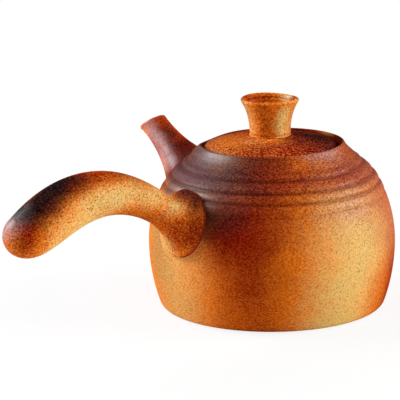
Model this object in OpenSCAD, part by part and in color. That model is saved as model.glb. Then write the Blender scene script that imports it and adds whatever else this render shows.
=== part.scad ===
// Side-handle kettle of unglazed clay: a thrown pot with a short spout, a hollow
// curved handle set almost at a right angle to it, and a loose lid that drops
// into a seat inside the mouth.
// Millimetres, +Z up. The origin is on the pot's axis, in the plane of its foot,
// and the spout points along +X.

/* [Body] */
// Widest diameter of the pot
body_d = 140; // [130:1:150]
// Height of the widest place above the foot
widest_z = 37; // [32:1:42]
// Radius of the wall's curve below the widest place
lower_curve_r = 105; // [90:1:130]
// Radius of the wall's curve above the widest place
upper_curve_r = 68.5; // [62:0.5:76]
// Height of the shoulder, where the wall turns in to the mouth
shoulder_z = 76.4; // [72:0.2:80]
// Thickness of the wall
wall = 4; // [3:0.1:5]
// Thickness of the floor
floor_t = 5; // [4:0.1:7]
// Radius of the rounded edge round the foot
foot_round = 4; // [2:0.1:6]
// Depth of the shallow hollow turned into the foot
foot_hollow_h = 1.2; // [0.5:0.1:2]
// Width of the flat ring that the pot stands on
foot_ring_w = 6; // [4:0.5:10]

/* [Throwing rings] */
// Number of rings on the shoulder
ring_count = 4; // [0:1:5]
// Height of the lowest ring
ring_z = 64.7; // [62:0.1:68]
// Rise from one ring to the next
ring_pitch = 6; // [5:0.1:7]
// Radius of the finger groove that makes a ring
ring_groove_r = 1.8; // [1.2:0.1:2.4]
// Depth of the finger groove
ring_depth = 0.5; // [0.3:0.05:0.8]

/* [Mouth and lid seat] */
// Height of the rim above the foot
rim_z = 93.1; // [91:0.1:97]
// Inside diameter of the mouth at the rim
mouth_d = 77.2; // [72:0.2:80]
// Thickness of the rim
rim_t = 2.6; // [2:0.1:3.4]
// Height of the hollow neck under the rim
neck_h = 7; // [5:0.1:9]
// Width of that neck beyond the rim
neck_w = 5.3; // [4:0.1:7]
// Depth of the lid's seat below the rim
seat_drop = 4.1; // [3.5:0.1:5]
// Width of the seat
seat_w = 5; // [4:0.1:6]
// Thickness of the seat's ledge
seat_t = 4; // [3:0.1:5]

/* [Spout] */
// Height at which the spout's axis meets the wall
spout_z = 68.2; // [66:0.2:70]
// Rise of the spout's axis above level
spout_angle = 41.2; // [38:0.2:46]
// Length of the spout along its axis, from the wall to the mouth
spout_l = 38.5; // [34:0.5:44]
// Outside diameter of the spout behind its lip
spout_d = 15; // [14:0.1:18]
// Swell of the spout's radius at the wall
spout_root_swell = 7.4; // [6:0.1:9]
// Power of that swell, higher keeps the spout slim for longer
spout_root_power = 2.4; // [2:0.1:3]
// Flare of the lip
spout_lip = 0.6; // [0.2:0.1:1]
// Turn of the cut at the mouth away from square
spout_cut_angle = 10; // [0:1:14]
// Thickness of the spout's wall at the lip
spout_wall = 2.4; // [2:0.1:3]
// Diameter of one hole in the strainer, which is pierced in the pot's wall
strainer_hole_d = 4.6; // [3.6:0.1:5]
// Distance between neighbouring strainer holes
strainer_pitch = 7; // [6.4:0.1:7.6]

/* [Handle] */
// Angle from the spout round to the handle, seen from above
handle_angle = 83; // [70:1:110]
// Height of the handle's root on the wall
handle_z = 57.6; // [52:0.2:60]
// Distance from the root to the centre of the rounded end
handle_reach = 107; // [90:1:125]
// Rise of the centre of the rounded end above the root
handle_end_rise = 12.5; // [4:0.5:18]
// Height of the control point that arches the handle
handle_arch = 57.2; // [48:0.2:62]
// Radius of the grip where it leaves the root
handle_neck_r = 8.1; // [7.6:0.1:9]
// Radius of the control point that fills out the hand's hold
handle_swell_r = 19.2; // [17:0.1:21]
// Radius of the rounded end
handle_end_r = 11.6; // [10:0.1:13]
// Upright radius of the flared foot of the handle
handle_foot_r = 18.9; // [17:0.1:20]
// Width of that foot as a share of its height
handle_foot_ratio = 0.88; // [0.8:0.01:1]
// Thickness of the rim round the foot
handle_foot_t = 1.5; // [1:0.1:2.5]
// Distance in which the foot's flare dies away
handle_flare_l = 6; // [4:0.1:8]
// Thickness of the handle's wall
handle_wall = 3.6; // [3:0.1:4.4]
// Diameter of the vent that lets air out of the handle in the kiln
handle_vent_d = 2.5; // [2:0.1:3.5]

/* [Lid] */
// Gap all round the lid in its seat
lid_gap = 0.8; // [0.5:0.1:1.2]
// Thickness of the lid's rounded edge
lid_edge_t = 2.7; // [2.2:0.1:3.2]
// Radius of the lid's domed top
lid_dome_r = 114; // [100:1:150]
// Thickness of the lid under the knob
lid_t = 4.2; // [3.5:0.1:5]
// Gap between the locating ring and the throat of the pot
lid_ring_gap = 0.8; // [0.5:0.1:1.2]
// Thickness of the locating ring
lid_ring_t = 3.2; // [2.5:0.1:4]
// Depth of the locating ring below the seat
lid_ring_h = 9; // [6:0.5:12]
// Diameter of the steam vent through the knob and the lid
steam_vent_d = 3.2; // [2.5:0.1:4]

/* [Knob] */
// Height of the knob
knob_h = 20.6; // [18:0.2:24]
// Outside diameter of the knob's rim
knob_rim_d = 33; // [30:0.2:36]
// Outside diameter of the knob's waist
knob_waist_d = 23.4; // [21:0.2:25]
// Height of the waist above the knob's foot
knob_waist_z = 4.5; // [3:0.1:6]
// Thickness of the knob's wall at the rim
knob_wall = 2.4; // [2:0.1:3]
// Depth of the cup in the knob
knob_cup_h = 13; // [10:0.5:14]
// Radius of the rounded edge under the knob
knob_foot_round = 1.2; // [0.8:0.1:1.6]

/* [Slip seams] */
// Thickness of the slip that joins two pieces of clay
slip_t = 0.4; // [0.3:0.05:0.6]
// Width of the slip squeezed out round the spout and the handle
slip_bead = 0.5; // [0.3:0.05:0.8]

/* [Hidden] */
$fn = 72;
inside = 6;          // how far the spout and handle run into the wall before they are cut
seat_z = rim_z - seat_drop;
rim_r = mouth_d / 2 + rim_t;
seat_r = mouth_d / 2;
throat_r = seat_r - seat_w;
shoulder_a = asin((shoulder_z - widest_z) / upper_curve_r);
shoulder_r = body_d / 2 - upper_curve_r * (1 - cos(shoulder_a));
neck_foot = [rim_r + neck_w, rim_z - neck_h];
lower_c = [body_d / 2 - lower_curve_r, widest_z];
upper_c = [body_d / 2 - upper_curve_r, widest_z];
foot_c = [
    lower_c.x + sqrt((lower_curve_r - foot_round) ^ 2 - (widest_z - foot_round) ^ 2),
    foot_round
];
foot_a = atan2(foot_c.y - lower_c.y, foot_c.x - lower_c.x);
lid_r = seat_r - lid_gap;
lid_ring_r = throat_r - lid_ring_gap;
knob_foot_r = knob_waist_d / 2;
lid_edge_z = seat_z + lid_edge_t;
lid_land_r = knob_foot_r + 0.4;
lid_land_z = lid_edge_z + dome_drop(lid_r) - dome_drop(lid_land_r);
knob_z = lid_land_z + slip_t;
spout_root_r = wall_r(spout_z);
spout_axis = [cos(spout_angle), sin(spout_angle)];
handle_normal_a = asin((handle_z - widest_z) / upper_curve_r);
handle_root = [wall_r(handle_z), handle_z];

pot_colour = "#c46a2b";
shoulder_colour = "#6b4237";
spout_colour = "#8a4a33";
handle_colour = "#c9702c";
lid_colour = "#a9541f";
knob_colour = "#d08a3c";
slip_colour = "#7a4226";

// Outside radius of the wall at a height between the foot's edge and the shoulder.
function wall_r(z) =
    let (c = z > widest_z ? upper_c : lower_c, r = z > widest_z ? upper_curve_r : lower_curve_r)
    c.x + sqrt(r ^ 2 - (z - widest_z) ^ 2);

// How far a dome falls below its crown at a radius.
function dome_drop(r) = lid_dome_r - sqrt(lid_dome_r ^ 2 - r ^ 2);

function arc(c, r, a0, a1, n) =
    [for (i = [0:n]) let (a = a0 + (a1 - a0) * i / n) c + r * [cos(a), sin(a)]];

function bow(p0, p1, p2, n) =
    [for (i = [0:n]) let (t = i / n) (1 - t) ^ 2 * p0 + 2 * t * (1 - t) * p1 + t ^ 2 * p2];

function unit(v) = v / norm(v);

function backwards(points) = [for (i = [len(points) - 1:-1:0]) points[i]];

// Numbers in rising order, each kept once.
function sorted(a) =
    len(a) < 2 ? a : let (m = a[floor(len(a) / 2)])
    concat(sorted([for (x = a) if (x < m) x]), [m], sorted([for (x = a) if (x > m) x]));

// A line of points moved outwards, to the right of its direction, by a distance.
function grown(points, by) =
    [for (i = [0:len(points) - 1])
        let (d = unit(points[min(i + 1, len(points) - 1)] - points[max(i - 1, 0)]))
        points[i] + by * [d.y, -d.x]];

// Outside of the pot from the foot's edge up to the outside of the rim, without its grooves.
function pot_side() = concat(
    arc(foot_c, foot_round, -90, foot_a, 4),
    arc(lower_c, lower_curve_r, foot_a * 0.8, 0, 4),
    arc(upper_c, upper_curve_r, shoulder_a / 8, shoulder_a, 7),
    bow(neck_foot, [rim_r + neck_w * 0.33, rim_z - neck_h * 0.56], [rim_r, rim_z - rim_t / 2], 4)
);

// How deep a finger groove is at a height.
function groove_depth(z) =
    let (cuts = [
        for (i = [0:1:ring_count - 1])
            let (x = min(abs(z - ring_z - i * ring_pitch), ring_groove_r))
            sqrt(ring_groove_r ^ 2 - x ^ 2) - ring_groove_r + ring_depth
    ])
    max(concat([0], cuts));

// The outside with the throwing rings' grooves pressed square into it.
function ringed_side() =
    let (
        half = sqrt(ring_groove_r ^ 2 - (ring_groove_r - ring_depth) ^ 2),
        radii = [for (p = pot_side()) [p.y, p.x]],
        grooves = [
            for (i = [0:1:ring_count - 1])
                for (x = [-1, -0.6, 0, 0.6, 1])
                    ring_z + i * ring_pitch + x * half
        ]
    )
    [for (z = sorted(concat([for (p = radii) p.x], grooves)))
        let (n = unit([0.2, lookup(z - 0.1, radii) - lookup(z + 0.1, radii)]))
        [lookup(z, radii), z] - groove_depth(z) * n];

function pot_inside() =
    let (
        fillet = 9,
        corner_r = wall_r(floor_t) - wall,
        top_z = seat_z - seat_t,
        shoulder_in = [shoulder_r, shoulder_z] - wall * [cos(shoulder_a + 6), sin(shoulder_a + 6)],
        slope = (shoulder_r - neck_foot.x) / (neck_foot.y - shoulder_z),
        ledge_r = shoulder_in.x - (top_z - shoulder_in.y) * slope
    )
    concat(
        bow([corner_r - fillet, floor_t], [corner_r, floor_t],
            [wall_r(floor_t + fillet) - wall, floor_t + fillet], 4),
        arc(lower_c, lower_curve_r - wall, foot_a * 0.4, 0, 2),
        arc(upper_c, upper_curve_r - wall, shoulder_a / 6, shoulder_a * 0.9, 5),
        [shoulder_in, [ledge_r, top_z], [throat_r, top_z], [throat_r, seat_z], [seat_r, seat_z]]
    );

// A layer that lies on the outside of the pot, from the foot to the rim.
module pot_layer(t) {
    rotate_extrude()
        polygon(concat(pot_side(), backwards(grown(pot_side(), t))));
}

// Everything inside the outside of the pot, grown by a layer.
module pot_solid(t) {
    side = grown(pot_side(), t);
    rotate_extrude()
        polygon(concat([[0, 0]], side, [[0, side[len(side) - 1].y]]));
}

// Places things on the spout's axis, with +Z along it and zero at the wall.
module on_spout_axis() {
    translate([spout_root_r, 0, spout_z])
        rotate([0, 90 - spout_angle, 0])
            children();
}

module strainer_holes() {
    on_spout_axis()
        for (i = [0:6]) {
            at = i == 0 ? 0 : strainer_pitch;
            rotate([0, 0, 60 * i])
                translate([at, 0, -4 * wall])
                    cylinder(d = strainer_hole_d, h = 6 * wall, $fn = 32);
        }
}

module pot_body() {
    foot_hollow_r = foot_c.x - foot_ring_w;
    color(pot_colour)
        difference() {
            rotate_extrude()
                polygon(concat(
                    [[0, foot_hollow_h], [foot_hollow_r - foot_hollow_h, foot_hollow_h], [foot_hollow_r, 0]],
                    ringed_side(),
                    arc([rim_r - rim_t / 2, rim_z - rim_t / 2], rim_t / 2, 30, 180, 5),
                    backwards(pot_inside()),
                    [[0, floor_t]]
                ));
            strainer_holes();
        }
}

// Outside radius of the spout at a distance back from its mouth.
function spout_r(s) =
    spout_d / 2 + spout_root_swell * (max(s, 0) / spout_l) ^ spout_root_power + spout_lip * exp(-s / 3);

module spout_form(grow, cavity) {
    steps = 9;
    root_s = spout_l + 3 * inside;
    tip_s = cavity ? -4 : -3;
    thin = cavity ? -spout_wall : grow;
    on_spout_axis()
        rotate_extrude($fn = 64)
            polygon(concat(
                [[0, spout_l - root_s], [spout_r(spout_l + inside / 2) + thin, spout_l - root_s]],
                [for (i = [0:steps])
                    let (s = (spout_l + inside / 2) * (1 - i / steps))
                    [spout_r(s) + thin, spout_l - s]],
                [[spout_r(0) + thin, spout_l - tip_s], [0, spout_l - tip_s]]
            ));
}

module spout() {
    color(spout_colour)
        difference() {
            spout_form(0, false);
            spout_form(0, true);
            pot_solid(slip_t);
            on_spout_axis()
                translate([0, 0, spout_l])
                    rotate([0, -spout_cut_angle, 0])
                        translate([-20, -20, 0])
                            cube([40, 40, 20]);
        }
}

module spout_slip() {
    color(slip_colour)
        difference() {
            intersection() {
                pot_layer(slip_t);
                spout_form(slip_bead, false);
            }
            spout_form(0, true);
        }
}

// The handle's centre line in its own upright plane, from 0 at the wall to 1 at the end.
function handle_line(t) =
    let (
        n = [cos(handle_normal_a), sin(handle_normal_a)],
        p0 = handle_root,
        p1 = handle_root + 0.09 * handle_reach * n,
        p2 = handle_root + [0.526 * handle_reach, handle_arch],
        p3 = handle_root + [0.885 * handle_reach, handle_end_rise - 0.5],
        p4 = handle_root + [handle_reach, handle_end_rise]
    )
    (1 - t) ^ 4 * p0 + 4 * t * (1 - t) ^ 3 * p1 + 6 * t ^ 2 * (1 - t) ^ 2 * p2
        + 4 * t ^ 3 * (1 - t) * p3 + t ^ 4 * p4;

function handle_direction(t) =
    let (d = handle_line(min(t + 0.01, 1)) - handle_line(max(t - 0.01, 0)))
    atan2(d.y, d.x);

// Radius of the grip without its flared foot.
function grip_r(t) =
    (1 - t) ^ 3 * handle_neck_r + 3 * t * (1 - t) ^ 2 * 0.78 * handle_neck_r
        + 3 * t ^ 2 * (1 - t) * handle_swell_r + t ^ 3 * handle_end_r;

function smooth(x) = let (t = min(max(x, 0), 1)) t * t * (3 - 2 * t);

// Change of the grip's radius for each millimetre along the centre line.
function grip_slope(t) =
    let (t0 = max(t - 0.01, 0), t1 = min(t + 0.01, 1))
    (grip_r(t1) - grip_r(t0)) / norm(handle_line(t1) - handle_line(t0));

// One ring of the handle: its centre, the angle it faces, its upright and sideways radii.
// The grip is the skin round a row of balls, so a ring lies ahead of the ball it touches
// where the grip narrows. The foot's flare is added to it.
function handle_station(t, grow) =
    let (
        c = handle_line(t),
        d = norm(c - handle_root),
        flare = exp(-(max(d - handle_foot_t, 0) / handle_flare_l)),
        turn = smooth(d / (4 * handle_flare_l)),
        a = handle_normal_a + (handle_direction(t) - handle_normal_a) * turn,
        slope = grip_slope(t) * turn,
        ball = grip_r(t) + grow,
        r = ball * sqrt(1 - slope ^ 2) + (handle_foot_r - handle_neck_r) * flare
    )
    [c - ball * slope * [cos(a), sin(a)], a, r, r * (1 - (1 - handle_foot_ratio) * flare)];

function handle_stations(grow) =
    let (
        steps = 28,
        cap = 6,
        foot = handle_station(0, grow),
        n = [cos(foot[1]), sin(foot[1])],
        end_a = handle_direction(1),
        m = [cos(end_a), sin(end_a)],
        ball = handle_end_r + grow,
        cap_a = asin(-grip_slope(1))
    )
    concat(
        [[foot[0] - inside * n, foot[1], foot[2], foot[3]]],
        [[foot[0] + handle_foot_t * n, foot[1], foot[2], foot[3]]],
        [for (i = [2:steps]) handle_station((i / steps) ^ 1.15, grow)],
        [for (i = [1:cap - 1])
            let (b = cap_a + (90 - cap_a) * i / cap)
            [handle_line(1) + ball * sin(b) * m, end_a, ball * cos(b), ball * cos(b)]]
    );

// A closed tube through a row of rings, in the upright plane of the handle.
module ring_tube(stations) {
    sides = 28;
    count = len(stations);
    points = [
        for (s = stations)
            for (j = [0:sides - 1])
                let (a = 360 * j / sides, up = s[2] * cos(a))
                [s[0].x - up * sin(s[1]), -s[3] * sin(a), s[0].y + up * cos(s[1])]
    ];
    skin = [
        for (i = [0:count - 2])
            for (j = [0:sides - 1])
                let (k = (j + 1) % sides, p = i * sides, q = p + sides)
                for (face = [[p + j, q + j, p + k], [p + k, q + j, q + k]])
                    face
    ];
    last = (count - 1) * sides;
    ends = [[for (j = [0:sides - 1]) j], [for (j = [sides - 1:-1:0]) last + j]];
    polyhedron(points = points, faces = concat(skin, ends));
}

module at_handle() {
    rotate([0, 0, handle_angle])
        children();
}

module handle_hollow() {
    ring_tube(handle_stations(-handle_wall));
}

module handle() {
    vent = handle_line(0.3);
    color(handle_colour)
        difference() {
            at_handle() ring_tube(handle_stations(0));
            at_handle() handle_hollow();
            at_handle()
                translate([vent.x, 0, vent.y - 2 * handle_foot_r])
                    cylinder(d = handle_vent_d, h = 2 * handle_foot_r, $fn = 32);
            pot_solid(slip_t);
        }
}

module handle_slip() {
    color(slip_colour)
        difference() {
            intersection() {
                pot_layer(slip_t);
                at_handle() ring_tube(handle_stations(slip_bead));
            }
            at_handle() handle_hollow();
        }
}

module steam_vent() {
    translate([0, 0, seat_z])
        cylinder(d = steam_vent_d, h = knob_h + 20, $fn = 32);
}

module lid_plate() {
    edge = lid_edge_t / 2;
    under_r = lid_ring_r - lid_ring_t - 1;
    under_z = lid_land_z - lid_t;
    color(lid_colour)
        difference() {
            rotate_extrude()
                polygon(concat(
                    bow([0, under_z], [under_r * 0.7, under_z], [under_r, seat_z], 5),
                    [[lid_r - edge, seat_z]],
                    arc([lid_r - edge, seat_z + edge], edge, -60, 60, 4),
                    [for (i = [0:6])
                        let (r = lid_r - edge - (lid_r - edge - lid_land_r) * i / 6)
                        [r, lid_edge_z + dome_drop(lid_r) - dome_drop(r)]],
                    [[0, lid_land_z]]
                ));
            steam_vent();
        }
}

module lid_ring() {
    color(lid_colour)
        translate([0, 0, seat_z - lid_ring_h])
            difference() {
                cylinder(r = lid_ring_r, h = lid_ring_h - slip_t);
                translate([0, 0, -1])
                    cylinder(r = lid_ring_r - lid_ring_t, h = lid_ring_h + 2);
            }
}

module lid_ring_slip() {
    color(slip_colour)
        translate([0, 0, seat_z - slip_t])
            difference() {
                cylinder(r = lid_ring_r, h = slip_t);
                translate([0, 0, -1])
                    cylinder(r = lid_ring_r - lid_ring_t, h = slip_t + 2);
            }
}

// Outside of the knob, from its foot up to its rim.
function knob_side() =
    let (
        foot = knob_foot_round,
        rim = [knob_rim_d / 2, knob_z + knob_h - knob_wall / 2],
        waist = [knob_waist_d / 2, knob_z + knob_waist_z]
    )
    concat(
        arc([knob_foot_r - foot, knob_z + foot], foot, -90, 0, 3),
        bow(waist, [waist.x + 0.6, knob_z + knob_h * 0.62], rim, 6)
    );

module lid_knob() {
    lip = knob_wall / 2;
    top = knob_z + knob_h;
    cup_z = top - knob_cup_h;
    color(knob_colour)
        difference() {
            rotate_extrude()
                polygon(concat(
                    [[0, knob_z]],
                    knob_side(),
                    arc([knob_rim_d / 2 - lip, top - lip], lip, 30, 150, 4),
                    bow([knob_rim_d / 2 - knob_wall, top - lip], [knob_waist_d / 2 - 2.2, cup_z + 3],
                        [0, cup_z], 6)
                ));
            steam_vent();
        }
}

module knob_slip() {
    color(slip_colour)
        difference() {
            translate([0, 0, lid_land_z])
                cylinder(r = knob_foot_r - knob_foot_round, h = slip_t);
            steam_vent();
        }
}

pot_body();
spout();
spout_slip();
handle();
handle_slip();
lid_plate();
lid_ring();
lid_ring_slip();
lid_knob();
knob_slip();
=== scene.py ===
# %% [markdown]
# # A clay kettle with a handle at its side
#
# The real kettle is thrown on a wheel from iron-rich clay and fired without a glaze. Six pieces
# are thrown or pulled one by one, then joined with slip, which is clay thinned with water.
# Here each piece is a surface worked out with numpy, around the solids that the frame brings in.

# %% Tools and frame
import math

import bpy
import numpy as np
from mathutils import Matrix, Vector


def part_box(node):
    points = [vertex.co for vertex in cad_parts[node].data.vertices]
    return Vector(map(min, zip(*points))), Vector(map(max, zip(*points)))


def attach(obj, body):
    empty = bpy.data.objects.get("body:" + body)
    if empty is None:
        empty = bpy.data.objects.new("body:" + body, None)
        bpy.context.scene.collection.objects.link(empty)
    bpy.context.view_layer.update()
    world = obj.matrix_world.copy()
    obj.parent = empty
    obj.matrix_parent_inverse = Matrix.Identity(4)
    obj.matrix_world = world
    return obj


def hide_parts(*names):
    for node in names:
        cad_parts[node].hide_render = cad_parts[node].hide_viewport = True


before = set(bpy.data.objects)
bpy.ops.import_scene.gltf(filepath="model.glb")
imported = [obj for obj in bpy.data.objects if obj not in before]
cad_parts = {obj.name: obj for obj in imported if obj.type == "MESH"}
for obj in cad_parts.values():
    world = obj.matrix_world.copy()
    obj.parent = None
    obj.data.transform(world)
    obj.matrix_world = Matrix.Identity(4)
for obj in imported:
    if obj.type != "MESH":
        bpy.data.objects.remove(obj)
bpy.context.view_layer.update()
print("solids:", ", ".join(sorted(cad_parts)))

# %% [markdown]
# ## Measuring the solids
#
# A few driving sizes come from the solids, so the surfaces land where the solids are. The rest
# are the potter's own sizes in millimetres, and how many points lie round each thrown piece. The
# meshes are built in metres.

# %% Driving sizes
MM = 0.001
pot_low, pot_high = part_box("pot_body")
BODY_R = (pot_high.x - pot_low.x) / 2 / MM
RIM_Z = pot_high.z / MM
WIDEST_Z, SHOULDER_Z = 37.0, 76.4
LOWER_CURVE_R, UPPER_CURVE_R = 105.0, 68.5
WALL, FLOOR_T = 4.0, 5.0
FOOT_ROUND, FOOT_RING_W, FOOT_HOLLOW_H = 4.0, 6.0, 1.2
MOUTH_R, RIM_T = 38.6, 2.6
NECK_H, NECK_W = 7.0, 5.3
SEAT_Z, SEAT_W, SEAT_T = RIM_Z - 4.1, 5.0, 4.0
POT_AROUND, LID_AROUND, KNOB_AROUND = 256, 200, 160
print(f"pot: {2 * BODY_R:.1f} mm wide, {RIM_Z:.1f} mm to its rim")

# %% [markdown]
# ## Helpers for curves
#
# A thrown pot is a profile turned about an axis. A profile starts as a row of points with sharp
# corners, and a potter's fingers round them, so two helpers space a row evenly and soften it.

# %% Curves
def smooth(x):
    """3 t^2 - 2 t^3, with t held between 0 and 1."""
    t = np.clip(x, 0.0, 1.0)
    return t * t * (3.0 - 2.0 * t)


def circle(count):
    """Even angles round a circle, from 0 up to 2 pi."""
    return np.linspace(0.0, 2 * np.pi, count, endpoint=False)


def arc(centre, radius, start, stop, count=40):
    """Points centre + radius (cos a, sin a), with a in degrees from start to stop."""
    a = np.radians(np.linspace(start, stop, count))
    return np.array(centre) + radius * np.stack([np.cos(a), np.sin(a)], 1)


def bow(p0, p1, p2, count=30):
    """A parabola from p0 to p2 that leaves and arrives in line with p1."""
    t = np.linspace(0.0, 1.0, count)[:, None]
    return (1 - t) ** 2 * np.array(p0) + 2 * t * (1 - t) * np.array(p1) + t ** 2 * np.array(p2)


def run_of(points):
    """How far each point of a row is from its first, measured along the row."""
    return np.concatenate([[0.0], np.cumsum(np.linalg.norm(np.diff(points, axis=0), axis=1))])


def even(points, step):
    """The same row of points with one point for each step of its length."""
    run = run_of(points)
    at = np.linspace(0.0, run[-1], max(int(round(run[-1] / step)), 2) + 1)
    return np.stack([np.interp(at, run, points[:, k]) for k in range(points.shape[1])], 1)


def softened(points, reach, step=0.25):
    """An even row whose points are means of their neighbours, weighted by a bell of that reach."""
    row = even(points, step)
    n = int(math.ceil(3 * reach / step))
    bell = np.exp(-0.5 * (np.arange(-n, n + 1) * step / reach) ** 2)
    bell /= bell.sum()
    before = 2 * row[0] - row[n:0:-1]
    after = 2 * row[-1] - row[-2:-n - 2:-1]
    padded = np.concatenate([before, row, after])
    return np.stack([np.convolve(padded[:, k], bell, "valid") for k in range(row.shape[1])], 1)


# %% [markdown]
# ## From a grid of points to a piece
#
# Every surface here is a grid: rings of points, each ring joined to the next. The ends are closed
# with a fan, or the last ring meets the first one, as in a hoop. The volume's sign shows whether
# the faces look outwards.

# %% Grid to mesh
def signed_volume(points, quads):
    """A sixth of the sum of a . (b x c) over the two triangles of each four-sided face."""
    a, b, c, d = (points[quads[:, k]] for k in range(4))
    return (np.einsum("ij,ij", a, np.cross(b, c)) + np.einsum("ij,ij", a, np.cross(c, d))) / 6


def skin(rings, hoop=False):
    """Points and faces of the surface through rings, an array of ring by place in ring by 3."""
    count, around = rings.shape[:2]
    points = rings.reshape(-1, 3)
    i, j = np.meshgrid(np.arange(count if hoop else count - 1), np.arange(around), indexing="ij")
    i2, j2 = (i + 1) % count, (j + 1) % around
    quads = np.stack([i * around + j, i * around + j2, i2 * around + j2, i2 * around + j], -1)
    faces = quads.reshape(-1, 4)
    if not hoop:
        ends = rings[[0, -1]].mean(axis=1)
        points = np.concatenate([points, ends])
        k = np.arange(around)
        k2 = (k + 1) % around
        first, last = count * around, count * around + 1
        top = (count - 1) * around
        low = np.stack([np.full(around, first), k2, k, k], 1)
        high = np.stack([np.full(around, last), top + k, top + k2, top + k2], 1)
        faces = np.concatenate([faces, low, high])
    if signed_volume(points, faces) < 0:
        faces = faces[:, ::-1]
    return points, faces


# %% Mesh to piece
def make_mesh(name, points, faces):
    """A smooth-shaded mesh in metres. A face that names a point twice is a triangle."""
    mesh = bpy.data.meshes.new(name)
    lists = [list(dict.fromkeys(face)) for face in faces.tolist()]
    mesh.from_pydata((points * MM).tolist(), [], lists)
    mesh.shade_smooth()
    return mesh


def put(name, data):
    """A new object in the scene, unturned and at the origin."""
    made = bpy.data.objects.new(name, data)
    bpy.context.scene.collection.objects.link(made)
    return made


def add_piece(name, surfaces, body, node):
    """One object from one or more surfaces. It rides on a body and stands for a solid."""
    points, faces, start = [], [], 0
    for p, f in surfaces:
        points.append(p)
        faces.append(f + start)
        start += len(p)
    mesh = make_mesh(name, np.concatenate(points), np.concatenate(faces))
    piece = put(name, mesh)
    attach(piece, body)
    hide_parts(node)
    print(f"{name}: {len(mesh.vertices)} points, {len(mesh.polygons)} faces")
    return piece


# %% [markdown]
# ## The lean of a hand-made pot
#
# The rim isn't quite level: it rises to one side, and above the spout a thumb pressed it down a
# little and pushed the neck out. The seat was trimmed level, so the lid sits level in it. One
# function moves every point by a smooth amount that grows with its height.

# %% Lean
LEAN_AZIMUTH = 221.9
LEAN_DEGREES = 0.83
LEAN_FROM, LEAN_TO = 45.0, 93.0
MOUTH_SHIFT = 0.4
DIP, DIP_AZIMUTH, DIP_REACH = 1.7, 14.0, 23.0
PUSH, PUSH_AZIMUTH, PUSH_REACH = 1.9, 42.0, 24.0
print(f"lean: {LEAN_DEGREES} degrees, with a dip of {DIP} mm and a bulge of {PUSH} mm in the rim")


def leaned(points, shift=0.0, tilt=1.0):
    """Raises a point by tilt tan(lean) times its distance towards the lean, and shifts it so."""
    a = math.radians(LEAN_AZIMUTH)
    way = np.array([math.cos(a), math.sin(a)])
    share = smooth((points[..., 2] - LEAN_FROM) / (LEAN_TO - LEAN_FROM))
    out = points.copy()
    out[..., 2] += tilt * share * math.tan(math.radians(LEAN_DEGREES)) * (points[..., :2] @ way)
    out[..., :2] += (share * (MOUTH_SHIFT + shift))[..., None] * way
    return out


def around_bell(a, azimuth, reach):
    """exp(-(d / reach)^2), where d is the shorter way from angle a to an azimuth, in degrees."""
    away = (np.degrees(a) - azimuth + 180.0) % 360.0 - 180.0
    return np.exp(-(away / reach) ** 2)


# %% Turning a profile
def turned(profile, around, wobble=0.0, shift=0.0, hoop=False, tilt=0.0, dip=0.0, push=0.0):
    """The profile (radius, height) carried round the axis: (r cos a, r sin a, z), with r
    multiplied by 1 + wobble (cos 2a + cos 3a / 2), then leaned. Tilt, dip and push are numbers,
    or rows with one number for each point of the profile."""
    tilt, dip, push = (np.reshape(k, (-1, 1)) for k in (tilt, dip, push))
    a = circle(around)
    r = profile[:, :1] * (1 + wobble * (np.cos(2 * a + 0.7) + 0.5 * np.cos(3 * a - 1.1)))
    r = r + push * around_bell(a, PUSH_AZIMUTH, PUSH_REACH)
    z = profile[:, 1:] - dip * around_bell(a, DIP_AZIMUTH, DIP_REACH)
    rings = np.stack([r * np.cos(a), r * np.sin(a), z], -1)
    return skin(leaned(rings, shift, tilt), hoop)


# %% [markdown]
# ## The pot
#
# Its outside is two arcs that meet at the widest place, a straight shoulder and a hollow neck
# under the rim. The potter's fingers left five grooves while the wheel turned, and the clay
# between them swelled a little. The profile runs from the middle of the foot over the rim and
# down inside to the middle of the floor, so one surface has the whole wall.

# %% Profile of the pot
SHOULDER_A = math.asin((SHOULDER_Z - WIDEST_Z) / UPPER_CURVE_R)
SHOULDER_R = BODY_R - UPPER_CURVE_R * (1 - math.cos(SHOULDER_A))
LOWER_C = (BODY_R - LOWER_CURVE_R, WIDEST_Z)
UPPER_C = (BODY_R - UPPER_CURVE_R, WIDEST_Z)
FOOT_C = (LOWER_C[0] + math.sqrt((LOWER_CURVE_R - FOOT_ROUND) ** 2 - (WIDEST_Z - FOOT_ROUND) ** 2),
          FOOT_ROUND)
FOOT_A = math.degrees(math.atan2(FOOT_ROUND - WIDEST_Z, FOOT_C[0] - LOWER_C[0]))
RIM_R = MOUTH_R + RIM_T
THROAT_R = MOUTH_R - SEAT_W

GROOVE_Z = np.array([64.6, 70.9, 76.1, 81.6, 85.0])
GROOVE_DEPTH = np.array([0.22, 0.60, 0.75, 0.55, 0.20])
GROOVE_REACH = 0.90
SWELL, SWELL_LOW, SWELL_HIGH = 0.3, (62.0, 8.0), (88.5, 5.0)


def upper_arc_r(z):
    """The radius of the pot's upper arc at a height, without grooves."""
    return UPPER_C[0] + math.sqrt(UPPER_CURVE_R ** 2 - (z - WIDEST_Z) ** 2)


# %% Outside of the pot
def pot_outside():
    """Arcs, shoulder and neck in one row from the foot's edge to the rim, softened by 1 mm."""
    degrees = math.degrees(SHOULDER_A)
    neck = bow((RIM_R + NECK_W, RIM_Z - NECK_H), (RIM_R + 0.33 * NECK_W, RIM_Z - 0.56 * NECK_H),
               (RIM_R, RIM_Z - RIM_T / 2))
    row = np.concatenate([arc(FOOT_C, FOOT_ROUND, -90, FOOT_A, 20),
                          arc(LOWER_C, LOWER_CURVE_R, FOOT_A, 0)[1:],
                          arc(UPPER_C, UPPER_CURVE_R, 0, degrees)[1:], neck])
    return softened(row, 1.0)


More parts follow.
